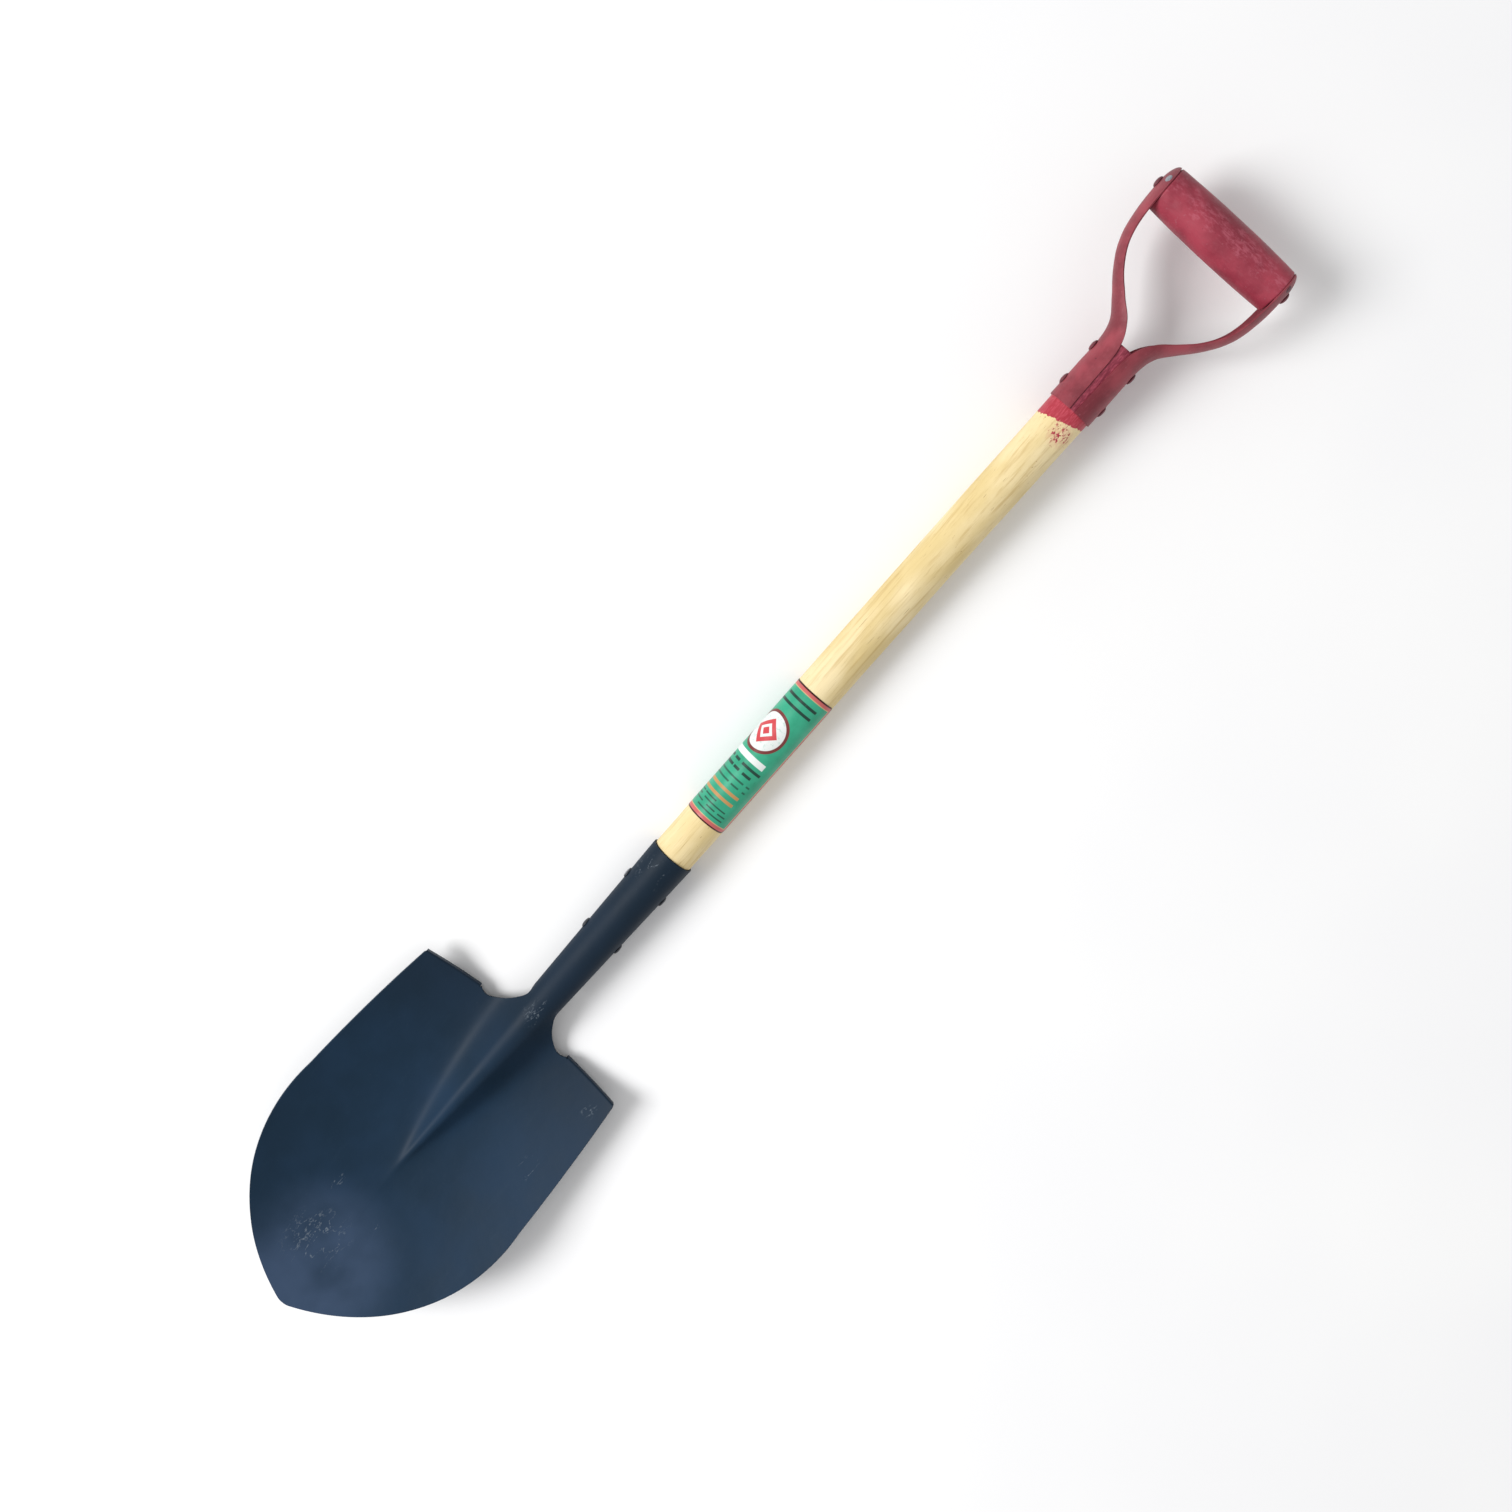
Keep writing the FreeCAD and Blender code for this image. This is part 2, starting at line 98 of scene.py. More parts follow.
def bowed(start, end, bow):
    """The circle of an arc from start to end whose middle stands off their line."""
    run = end - start
    aside = Vector((-run.y, run.x)).normalized()
    return circle_through(start, (start + end) / 2 + aside * bow, end)


def circle_y(circle, x, side=1):
    centre, radius = circle
    return centre.y + side * math.sqrt(max(0.0, radius**2 - (x - centre.x) ** 2))


def waves(point, size, seed=0.0):
    """Smooth noise between -1 and 1 whose bumps are about as wide as size."""
    return noise.noise(Vector(point) / size + Vector((seed, seed, seed)))


class Sheet:
    """Points and quads of one mesh, laid down row by row."""

    def __init__(self):
        self.points = []
        self.faces = []

    def row(self, points):
        first = len(self.points)
        self.points.extend(points)
        return list(range(first, len(self.points)))

    def join(self, low, high, closed=False):
        if closed:
            low = low + low[:1]
            high = high + high[:1]
        for a, b, c, d in zip(low, high, high[1:], low[1:]):
            self.faces.append((a, b, c, d))

    def loft(self, rows, closed=False, start=None):
        """Joins rows of points, after the row of corner numbers start if there is one."""
        last = start
        for points in rows:
            this = self.row(points)
            if last:
                self.join(last, this, closed)
            last = this
        return last

    def cap(self, row, centre, outward=True):
        """Closes a ring with a fan about a centre."""
        middle = self.row([centre])[0]
        for a, b in zip(row, row[1:] + row[:1]):
            self.faces.append((a, middle, b) if outward else (b, middle, a))


def piece(name, sheet, place, material, replaced):
    """Makes the mesh of a sheet of points in the given frame, and stands it in for a CAD node."""
    mesh = bpy.data.meshes.new(name)
    mesh.from_pydata([place @ (Vector(point) * MM) for point in sheet.points], [], sheet.faces)
    mesh.polygons.foreach_set("use_smooth", [True] * len(mesh.polygons))
    mesh.materials.append(material)
    made = bpy.data.objects.new(name, mesh)
    bpy.context.scene.collection.objects.link(made)
    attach(made, "root")
    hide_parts(replaced)
    return made


def thicken(made, thickness):
    solidify = made.modifiers.new("thickness", "SOLIDIFY")
    solidify.thickness = thickness * MM
    solidify.offset = -1
    solidify.use_even_offset = True


def soften(made, width, sharper_than=35):
    bevel = made.modifiers.new("edges", "BEVEL")
    bevel.width = width * MM
    bevel.segments = 2
    bevel.limit_method = "ANGLE"
    bevel.angle_limit = math.radians(sharper_than)
    bevel.harden_normals = True


# ---- materials ----

def srgb(code):
    """A colour written as #RRGGBB, as linear RGBA."""
    values = [int(code[i:i + 2], 16) / 255 for i in (1, 3, 5)]
    return (*[v / 12.92 if v <= 0.04045 else ((v + 0.055) / 1.055) ** 2.4 for v in values], 1.0)


class Surface:
    """A procedural material. Its calls add nodes and return their outputs; sizes are in mm."""

    def __init__(self, name, roughness=0.5, specular=0.5):
        self.material = bpy.data.materials.new(name)
        self.material.use_nodes = True
        self.tree = self.material.node_tree
        self.shader = self.tree.nodes["Principled BSDF"]
        self.shader.inputs["Roughness"].default_value = roughness
        self.shader.inputs["Specular IOR Level"].default_value = specular
        coordinates = self.add("ShaderNodeTexCoord").outputs["Object"]
        self.place = self.vector("SCALE", coordinates, scale=1 / MM)

    def add(self, kind, **settings):
        node = self.tree.nodes.new(kind)
        for name, value in settings.items():
            setattr(node, name, value)
        return node

    def feed(self, socket, value):
        if isinstance(value, bpy.types.NodeSocket):
            self.tree.links.new(value, socket)
        else:
            socket.default_value = value

    def math(self, operation, a, b=0.0, clamp=False):
        node = self.add("ShaderNodeMath", operation=operation, use_clamp=clamp)
        self.feed(node.inputs[0], a)
        self.feed(node.inputs[1], b)
        return node.outputs[0]

    def vector(self, operation, a, b=(0, 0, 0), scale=1.0):
        node = self.add("ShaderNodeVectorMath", operation=operation)
        self.feed(node.inputs[0], a)
        self.feed(node.inputs[1], b)
        if operation == "SCALE":
            node.inputs["Scale"].default_value = scale
        return node.outputs["Value" if operation in ("DISTANCE", "DOT_PRODUCT") else "Vector"]

    def split(self, vector):
        node = self.add("ShaderNodeSeparateXYZ")
        self.feed(node.inputs[0], vector)
        return node.outputs

    def noise(self, size, stretch=(1, 1, 1), detail=4.0, roughness=0.55, seed=0.0, at=None):
        """Noise between 0 and 1, its blobs about size across, times stretch along each axis."""
        mapping = self.add("ShaderNodeMapping")
        self.feed(mapping.inputs["Vector"], at or self.place)
        mapping.inputs["Location"].default_value = (seed, seed, seed)
        mapping.inputs["Scale"].default_value = [1 / (size * times) for times in stretch]
        node = self.add("ShaderNodeTexNoise")
        self.feed(node.inputs["Vector"], mapping.outputs["Vector"])
        node.inputs["Scale"].default_value = 1.0
        node.inputs["Detail"].default_value = detail
        node.inputs["Roughness"].default_value = roughness
        return node.outputs[0]

    def step(self, value, low, high, start=0.0, end=1.0):
        """start below low, end above high, with a smooth step between them."""
        node = self.add("ShaderNodeMapRange", interpolation_type="SMOOTHSTEP")
        self.feed(node.inputs["Value"], value)
        for name, number in zip(("From Min", "From Max", "To Min", "To Max"), (low, high, start, end)):
            node.inputs[name].default_value = number
        return node.outputs["Result"]

    def mix(self, share, a, b):
        node = self.add("ShaderNodeMix", data_type="RGBA")
        self.feed(node.inputs[0], share)
        self.feed(node.inputs[6], a)
        self.feed(node.inputs[7], b)
        return node.outputs[2]

    def times(self, *values):
        product = values[0]
        for value in values[1:]:
            product = self.math("MULTIPLY", product, value)
        return product

    def most(self, *values):
        largest = values[0]
        for value in values[1:]:
            largest = self.math("MAXIMUM", largest, value)
        return largest

    def band(self, value, low, high, blur=0.1):
        """1 between low and high."""
        above_low = self.step(value, low - blur, low + blur)
        below_high = self.step(value, high - blur, high + blur, 1, 0)
        return self.times(above_low, below_high)

    def patch(self, place, x, y, radius):
        """A soft round patch about a point of the tool, seen from the front."""
        centre = place @ (Vector((x, y, 0)) * MM) / MM
        flat = self.vector("MULTIPLY", self.place, (1, 1, 0))
        distance = self.vector("DISTANCE", flat, (centre.x, centre.y, 0))
        return self.step(distance, radius * 0.3, radius, 1, 0)

    def bump(self, height, depth):
        node = self.add("ShaderNodeBump")
        node.inputs["Distance"].default_value = depth * MM
        node.inputs["Strength"].default_value = 1.0
        self.feed(node.inputs["Height"], height)
        if self.shader.inputs["Normal"].links:
            self.feed(node.inputs["Normal"], self.shader.inputs["Normal"].links[0].from_socket)
        self.feed(self.shader.inputs["Normal"], node.outputs["Normal"])

    def finish(self, colour, roughness=None, metallic=None):
        self.feed(self.shader.inputs["Base Color"], colour)
        if roughness is not None:
            self.feed(self.shader.inputs["Roughness"], roughness)
        if metallic is not None:
            self.feed(self.shader.inputs["Metallic"], metallic)
        return self.material


# Places on the blade, each as x, y and radius in the tool frame: a paler haze at the tip, and
# scuffs where the enamel is rubbed chalky.
TIP_HAZE = (30, 0, 75)
SCUFFS = [
    (46, 11, 30),
    (87, 30, 9),
    (76, -15, 8),
    (189, -76, 11),
    (255, -79, 9),
    (292, -4, 16),
    (428, 4, 15),
]


def blade_enamel():
    """Dark blue enamel with a faint orange peel, cloudy tone and chalky rubbed places."""
    paint = Surface("blade_enamel", specular=0.15)
    cloud = paint.noise(70, detail=3)
    grain = paint.noise(1.6, detail=3, roughness=0.7)
    streaks = paint.noise(9, stretch=(4, 1, 1), detail=5, roughness=0.65, seed=3.1)
    colour = paint.mix(paint.step(cloud, 0.3, 0.72), srgb("#12293C"), srgb("#183047"))
    colour = paint.mix(paint.step(streaks, 0.55, 0.8, 0, 0.25), colour, srgb("#22384C"))
    rubbed = paint.most(*[paint.patch(TOOL, *scuff) for scuff in SCUFFS])
    socket = paint.step(paint.split(paint.place)[0], -340, -190, 0, 0.6)
    colour = paint.mix(socket, colour, srgb("#121C25"))
    haze = paint.times(paint.patch(TOOL, *TIP_HAZE), paint.step(cloud, 0.3, 0.6, 0.2, 0.5))
    colour = paint.mix(haze, colour, srgb("#4A5C79"))
    winding = paint.math("SUBTRACT", paint.noise(13, stretch=(2.4, 0.8, 1), detail=6, seed=8.4), 0.5)
    hairlines = paint.step(paint.math("ABSOLUTE", winding), 0.003, 0.014, 1, 0)
    broken = paint.step(paint.noise(2.5, detail=3, seed=2.2), 0.42, 0.6)
    chalk = paint.times(rubbed, hairlines, broken, 0.45)
    dust = paint.step(paint.noise(0.9, detail=2, roughness=0.9, seed=5.5), 0.7, 0.77, 0, 0.14)
    colour = paint.mix(paint.math("ADD", chalk, dust, clamp=True), colour, srgb("#8C969E"))
    paint.bump(grain, 0.05)
    paint.bump(paint.noise(14, detail=2), 0.25)
    roughness = paint.math("ADD", paint.step(cloud, 0.3, 0.7, 0.5, 0.6), chalk, clamp=True)
    return paint.finish(colour, roughness)


def red_paint(name, light="#983F4A", dark="#742833", along=(1, 1, 1)):
    """Brushed-on red paint: strokes along the piece, faded patches, chips and rubbed spots."""
    paint = Surface(name, specular=0.35)
    cloud = paint.noise(28, detail=4, seed=1.7)
    strokes = paint.noise(1.1, stretch=along, detail=5, roughness=0.7, seed=2.9)
    colour = paint.mix(paint.step(cloud, 0.35, 0.66), srgb(dark), srgb(light))
    colour = paint.mix(paint.step(strokes, 0.5, 0.75, 0, 0.35), colour, srgb("#9A4D58"))
    worn = paint.step(paint.noise(5, detail=6, roughness=0.75, seed=6.3), 0.62, 0.7, 0, 0.55)
    colour = paint.mix(worn, colour, srgb("#A25F69"))
    chips = paint.step(paint.noise(2.6, detail=3, roughness=0.6, seed=9.2), 0.71, 0.73, 0, 0.8)
    colour = paint.mix(chips, colour, srgb("#4A1620"))
    paint.bump(strokes, 0.12)
    paint.bump(paint.noise(7, detail=3, seed=4.0), 0.3)
    return paint, colour, paint.step(cloud, 0.3, 0.7, 0.42, 0.55)


def handle_paint():
    paint, colour, roughness = red_paint("handle_paint", along=(5, 1, 1))
    return paint.finish(colour, roughness)


def grip_paint():
    """The barrel's paint, with a paler broken band along the +X half of its top: partly rubbed paint, partly
    painted highlight where the light falls on the barrel.
    """
    paint, colour, roughness = red_paint("grip_paint", "#A23A4B", "#86293A", along=(1, 6, 1))
    across = paint.split(paint.place)[0]
    edge = paint.math("ADD", across, paint.step(paint.noise(9, detail=5, seed=7.7), 0.3, 0.7, -5, 5))
    # Painted highlight: a paler band on the barrel's lit +X side, broken up like rubbed paint.
    rubbed_and_lit_band = paint.band(edge, 494, 504, 4)
    broken = paint.step(paint.noise(2.2, stretch=(1, 3, 1), detail=6, roughness=0.75, seed=3.3), 0.42, 0.62)
    colour = paint.mix(paint.times(rubbed_and_lit_band, broken, 0.5), colour, srgb("#BC6474"))
    return paint.finish(colour, roughness)


def shaft_wood():
    """Pale ash: long grain, brown flecks and dirt, with the handle's paint run down its top."""
    wood = Surface("ash_wood", specular=0.3)
    long_grain = wood.noise(3.0, stretch=(22, 1, 1), detail=5, roughness=0.6)
    fine_grain = wood.noise(0.7, stretch=(40, 1, 1), detail=4, roughness=0.7, seed=2.0)
    cloud = wood.noise(26, stretch=(2.5, 1, 1), detail=3, seed=5.0)
    colour = wood.mix(wood.step(cloud, 0.32, 0.68), srgb("#DAC38A"), srgb("#ECD9AB"))
    colour = wood.mix(wood.step(long_grain, 0.5, 0.72, 0, 0.5), colour, srgb("#BC9D5F"))
    colour = wood.mix(wood.step(fine_grain, 0.55, 0.75, 0, 0.4), colour, srgb("#AC8A52"))
    fleck_noise = wood.noise(1.5, stretch=(3.2, 1, 1), detail=3, roughness=0.6, seed=11.0)
    fleck_area = wood.step(wood.noise(22, detail=2, seed=13.0), 0.48, 0.62)
    flecks = wood.times(wood.step(fleck_noise, 0.66, 0.72), fleck_area, 0.85)
    colour = wood.mix(flecks, colour, srgb("#8D6335"))
    cracks = wood.step(wood.noise(0.9, stretch=(30, 1, 1), detail=1, seed=17.0), 0.74, 0.77, 0, 0.6)
    colour = wood.mix(cracks, colour, srgb("#7C5A33"))

    start = HANDLE @ Vector((0, 0, 0)) / MM
    along = wood.vector("DOT_PRODUCT", wood.vector("SUBTRACT", wood.place, start[:]), HANDLE.col[0][:3])
    across = wood.split(wood.place)[1]
    ragged = wood.noise(2.4, stretch=(1.6, 1, 1), detail=4, roughness=0.65, seed=19.0)
    edge = wood.math("ADD", along, wood.math("MULTIPLY", across, 0.3))
    edge = wood.math("ADD", edge, wood.math("MULTIPLY", ragged, 6.0))
    painted = wood.step(edge, -7.3, -6.9)
    flat = wood.vector("MULTIPLY", wood.place, (1, 1, 0))
    spot = HANDLE @ (Vector((-18, -5, 0)) * MM) / MM
    near = wood.step(wood.vector("DISTANCE", flat, (spot.x, spot.y, 0)), 3, 12, 1, 0)
    spatter_noise = wood.noise(1.5, stretch=(1.7, 1, 1), detail=3, roughness=0.6, seed=23.0)
    spatter = wood.step(wood.math("ADD", spatter_noise, wood.times(near, 0.16)), 0.67, 0.73)
    smear = wood.times(near, wood.step(ragged, 0.35, 0.65), 0.55)
    colour = wood.mix(smear, colour, srgb("#D58E80"))
    paint = wood.most(painted, wood.times(spatter, wood.step(near, 0.02, 0.2)))
    in_yoke = wood.step(along, -0.5, 0.5)
    brushed = wood.step(wood.noise(1.2, stretch=(5, 1, 1), detail=5, roughness=0.7, seed=29.0), 0.4, 0.7)
    red = wood.mix(brushed, srgb("#A8303F"), srgb("#C4505F"))
    red = wood.mix(in_yoke, red, wood.mix(brushed, srgb("#742536"), srgb("#A84A5B")))
    colour = wood.mix(paint, colour, red)
    wood.bump(fine_grain, 0.08)
    wood.bump(long_grain, 0.2)
    wood.bump(paint, 0.15)
    return wood.finish(colour, wood.step(paint, 0, 1, 0.56, 0.42))


def bare_and_painted(name, under, paint_code, bare, specular=0.5):
    """Steel with paint over it, bare where the mask bare(surface) is 1."""
    metal = Surface(name, specular=specular)
    scratches = metal.noise(0.5, stretch=(1, 3, 1), detail=4, roughness=0.7)
    mask = bare(metal)
    steel = metal.mix(metal.step(scratches, 0.3, 0.7), srgb(under), srgb("#B9BCC2"))
    paint = metal.mix(metal.step(metal.noise(1.5, detail=4), 0.3, 0.7), srgb(paint_code), srgb("#2A2C34"))
    colour = metal.mix(mask, paint, steel)
    metal.bump(scratches, 0.06)
    return metal.finish(colour, metal.step(mask, 0, 1, 0.5, 0.34), metal.times(mask, 0.9))


# ---- the label's print: measured in mm up from its lower edge and round from its right edge ----

LABEL_LENGTH = 121.0
LABEL_RADIUS = 16.25
LABEL_WRAP = 234.0
LABEL_TURN = 40.0
LABEL_WIDTH = LABEL_RADIUS * math.radians(LABEL_WRAP)
LABEL_CORNER = 4.5
BADGE_UP = 79.0
BADGE_RADIUS = 17.4
DIAMONDS = [(11.0, "#C8434A"), (6.5, "#DDE2E0"), (3.5, "#C8434A")]


def label_print():
    """A plain green label: a ruled border, a round badge with a diamond, and rows of bars."""
    ink = Surface("label_print", roughness=0.34, specular=0.4)
    place = ink.add("ShaderNodeAttribute", attribute_name="print").outputs["Vector"]
    up, across, _ = ink.split(place)
    from_ends = ink.math("MINIMUM", up, ink.math("SUBTRACT", LABEL_LENGTH, up))
    from_sides = ink.math("MINIMUM", across, ink.math("SUBTRACT", LABEL_WIDTH, across))
    corner_x = ink.math("MAXIMUM", ink.math("SUBTRACT", LABEL_CORNER, from_ends), 0.0)
    corner_y = ink.math("MAXIMUM", ink.math("SUBTRACT", LABEL_CORNER, from_sides), 0.0)
    corner = ink.math("SQRT", ink.math("ADD", ink.times(corner_x, corner_x), ink.times(corner_y, corner_y)))
    depth = ink.math("SUBTRACT", LABEL_CORNER, corner)
    inside = ink.math("MINIMUM", from_ends, from_sides)
    in_corner = ink.math("MULTIPLY", ink.step(corner_x, 0, 0.01), ink.step(corner_y, 0, 0.01))
    in_from_edge = ink.math("ADD", ink.times(depth, in_corner),
                            ink.times(inside, ink.math("SUBTRACT", 1.0, in_corner)))

    mottle = ink.step(ink.noise(18, detail=4, at=place), 0.3, 0.7)
    green = ink.mix(mottle, srgb("#279472"), srgb("#36A683"))
    colour = green

    def rows(colour, first, last, count, thick, code, size, reach):
        """Rows of plain bars of uneven length between two heights."""
        for number, height in enumerate(steps(first, last, count - 1)):
            line = ink.band(up, height - thick / 2, height + thick / 2, 0.15)
            gaps = ink.noise(size, stretch=(50, 1, 1), detail=0, at=place, seed=first + number)
            width = ink.band(across, 66 - reach, reach, 0.2)
            colour = ink.mix(ink.times(line, ink.step(gaps, 0.38, 0.4), width), colour, srgb(code))
        return colour

    colour = rows(colour, 7.5, 17.5, 4, 1.1, "#1E5241", 5.0, 54)
    colour = rows(colour, 21.5, 28.0, 2, 2.4, "#B98A55", 7.0, 52)
    colour = rows(colour, 34.0, 39.0, 2, 1.4, "#1F5E4A", 5.0, 53)
    colour = rows(colour, 45.0, 50.5, 2, 2.2, "#143E33", 6.0, 53)
    colour = rows(colour, 104.5, 111.0, 2, 2.2, "#15392F", 6.0, 53)
    bar = ink.times(ink.band(up, 54.6, 59.4, 0.15), ink.band(across, 15, 51, 0.2))
    colour = ink.mix(bar, colour, srgb("#DFE5E2"))

    from_badge = ink.vector("DISTANCE", place, (BADGE_UP, LABEL_WIDTH / 2, 0))
    ring = ink.step(from_badge, BADGE_RADIUS - 0.1, BADGE_RADIUS + 0.1, 1, 0)
    colour = ink.mix(ring, colour, srgb("#74302F"))
    field = ink.step(from_badge, BADGE_RADIUS - 2.5, BADGE_RADIUS - 2.2, 1, 0)
    paper = ink.mix(ink.step(ink.noise(3, detail=4, at=place), 0.56, 0.62), srgb("#DDE2E0"), srgb("#C2D5CE"))
    colour = ink.mix(field, colour, paper)
    aside = ink.math("ABSOLUTE", ink.math("SUBTRACT", across, LABEL_WIDTH / 2))
    above = ink.math("ABSOLUTE", ink.math("SUBTRACT", up, BADGE_UP))
    from_middle = ink.math("ADD", aside, above)
    for size, code in DIAMONDS:
        colour = ink.mix(ink.step(from_middle, size - 0.2, size + 0.2, 1, 0), colour, srgb(code))

    for edge, code in ((4.2, "#C9A878"), (3.6, "#C2605E"), (1.1, "#3A0A0C")):
        colour = ink.mix(ink.step(in_from_edge, edge - 0.15, edge + 0.15, 1, 0), colour, srgb(code))
    ink.bump(ink.noise(6, detail=2, at=place), 0.15)
    return ink.finish(colour)


# ---- blade ----

BLADE_SHEET = 1.6
HEEL = 272.0
HEEL_HALF_WIDTH = 90.1
SIDE_RADIUS = 140.6
SIDE_CENTRE = 131.4
HALF_WIDTH = 100.6
WIDEST = Vector((150.0, HALF_WIDTH))
TIP_HALF_WIDTH = 5.0
NOSE_REACH = 0.7
SIDE_BOW = 1.3
SHOULDER_SLANT = 1.3
RELIEF = 42.5
RELIEF_WIDTH = 13.2
RELIEF_SLANT = 1.0
RELIEF_DIP = 3.0
FLARE_BOW = 3.4
PAN_LOW = 231.0
PAN_DEPTH = 14.0
PAN_LONG_RADIUS = 620.0
PAN_CROSS_RADIUS = 240.0
FROG_START = 128.0
FROG_START_RADIUS = 2.5
FROG_FLANK = math.radians(48)
FROG_START_BLEND = 3.5
FROG_NECK_BLEND = 10.0
TREAD_DEPTH = 9.7
TREAD_LEAN = math.radians(12)
TREAD_BEND = 2.2
NECK = 300.0
NECK_RADIUS = 13.7
MOUTH = 445.0
MOUTH_RADIUS = 17.2
THROAT_END = 320.0
SOCKET_START = 275.0
CURL_START = 288.0
CURL_END = 303.0
WRAP_START = 297.0
FLARE_WRAP = 72
CLOSED_WRAP = 179
PAN_ROWS_END = 240.0
DENT_HEIGHT = 0.45


def pan_height(x, y):
    return (x - PAN_LOW) ** 2 / (2 * PAN_LONG_RADIUS) + y**2 / (2 * PAN_CROSS_RADIUS) - PAN_DEPTH


def up_the_frog(x, start, end):
    return blend(start, end, min(1.0, max(0.0, (x - FROG_START) / (NECK - FROG_START))))


def frog_height(x, y):
    start = pan_height(FROG_START, 0)
    crest = blend(start, NECK_RADIUS, (x - FROG_START) / (NECK - FROG_START))
    radius = up_the_frog(x, FROG_START_RADIUS, NECK_RADIUS)
    edge = radius * math.sin(FROG_FLANK)
    if abs(y) < edge:
        return crest - radius + math.sqrt(radius**2 - y**2)
    return crest - radius * (1 - math.cos(FROG_FLANK)) - (abs(y) - edge) * math.tan(FROG_FLANK)


def front_height(x, y):
    """The front of the pressing, a little wavy as a hammered and dented sheet is."""
    pan = pan_height(x, y)
    frog = frog_height(x, y)
    dents = DENT_HEIGHT * waves((x, y, 0), 42.0) * (1 - smooth(x, 250, 272))
    foot = up_the_frog(x, FROG_START_BLEND, FROG_NECK_BLEND)
    return (pan + frog + math.hypot(pan - frog, foot)) / 2 + dents


def side_point(y):
    centre_y = HALF_WIDTH - SIDE_RADIUS
    return Vector((SIDE_CENTRE - math.sqrt(SIDE_RADIUS**2 - (y - centre_y) ** 2), y))


def outline_circles():
    """The nose, the front side, the rear side and the neck's flare, as circles of the plan."""
    tip = side_point(TIP_HALF_WIDTH)
    corner = Vector((HEEL, HEEL_HALF_WIDTH))
    relief_in = Vector((HEEL + SHOULDER_SLANT - RELIEF_SLANT, RELIEF - RELIEF_WIDTH))
    neck = Vector((NECK + 2, NECK_RADIUS - 0.6))
    nose = circle_through(Vector((tip.x, -tip.y)), Vector((tip.x - NOSE_REACH, 0)), tip)
    return nose, circle_through(tip, side_point(HALF_WIDTH * 0.7), WIDEST), \
        bowed(WIDEST, corner, SIDE_BOW), bowed(relief_in, neck, -FLARE_BOW)


NOSE, FRONT_SIDE, REAR_SIDE, FLARE = outline_circles()


def half_width(x):
    tip = side_point(TIP_HALF_WIDTH)
    if x < tip.x:
        return circle_y(NOSE, x)
    if x < WIDEST.x:
        return circle_y(FRONT_SIDE, x)
    return circle_y(REAR_SIDE, min(x, HEEL))


def heel_line(y):
    """How far back the pressing's rear edge is, in plan, at a half-width."""
    y = abs(y)
    relief_in = RELIEF - RELIEF_WIDTH
    if y >= RELIEF:
        return HEEL + SHOULDER_SLANT * (HEEL_HALF_WIDTH - y) / (HEEL_HALF_WIDTH - RELIEF)
    inner = HEEL + SHOULDER_SLANT - RELIEF_SLANT
    if y <= relief_in:
        return inner
    share = (y - relief_in) / RELIEF_WIDTH
    return inner + share * RELIEF_SLANT - RELIEF_DIP * (1 - (2 * share - 1) ** 2)


def heel_columns():
    """Half-widths of the mesh's columns at the heel: close on the frog, wider on the shoulders."""
    relief_in = RELIEF - RELIEF_WIDTH
    left = steps(0, relief_in, 28) + steps(relief_in, RELIEF, 10)[1:] + steps(RELIEF, HEEL_HALF_WIDTH, 20)[1:]
    return [-y for y in reversed(left[1:])] + left


def pan_rows(columns):
    """Rows of points from the tip to just short of the heel, then bent to the heel's line."""
    tip = side_point(TIP_HALF_WIDTH).x
    nose = tip - NOSE_REACH
    places = [nose + NOSE_REACH * share for share in (0.07, 0.25, 0.5, 0.75)]
    places += [blend(tip, PAN_ROWS_END, (i / 100) ** 1.5) for i in range(101)]
    rows = []
    for x in places:
        scale = half_width(x) / HEEL_HALF_WIDTH
        rows.append([(x, y * scale, front_height(x, y * scale)) for y in columns])
    for share in steps(0, 1, 14)[1:]:
        row = []
        for y in columns:
            end = heel_line(y) - (TREAD_BEND if abs(y) >= RELIEF else 0)
            x = blend(PAN_ROWS_END, end, share)
            scaled = y * half_width(x) / HEEL_HALF_WIDTH
            row.append((x, scaled, front_height(x, scaled)))
        rows.append(row)
    return rows


def tread_rows(columns):
    """The shoulder turned down over a round bend into the leaning tread."""
    down = Vector((-math.tan(TREAD_LEAN), 0, -1)).normalized()
    drop = TREAD_DEPTH / math.cos(TREAD_LEAN)
    edges = [Vector((heel_line(y), y, front_height(heel_line(y), y))) for y in columns]
    rows = []
    for share in steps(0, 1, 6)[1:]:
        start = (1 - share) ** 2
        end = share**2
        rows.append([edge + Vector((-TREAD_BEND, 0, 0)) * start + down * TREAD_BEND * end for edge in edges])
    for share in steps(0, 1, 4)[1:]:
        rows.append([edge + down * blend(TREAD_BEND, drop, share) for edge in edges])
    return rows


def socket_radius(x):
    return blend(NECK_RADIUS, MOUTH_RADIUS, max(0.0, x - NECK) / (MOUTH - NECK))


def socket_rows(shares):
    """The frog's end, whose edges curl round behind and meet at the seam, and then the tube."""
    rows = []
    for x in steps(SOCKET_START, THROAT_END, 22) + steps(THROAT_END, MOUTH, 30)[1:]:
        wrap = math.radians(blend(FLARE_WRAP, CLOSED_WRAP, smooth(x, WRAP_START, THROAT_END)))
        closing = smooth(x, CURL_START, CURL_END)
        radius = socket_radius(x)
        row = []
        for share in shares:
            y = share * circle_y(FLARE, min(x, NECK + 2), -1)
            flat = Vector((x, y, front_height(min(x, NECK), y)))
            angle = share * wrap
            curled = Vector((x, radius * math.sin(angle), radius * math.cos(angle)))
            row.append(flat.lerp(curled, closing))
        rows.append(row)
    return rows


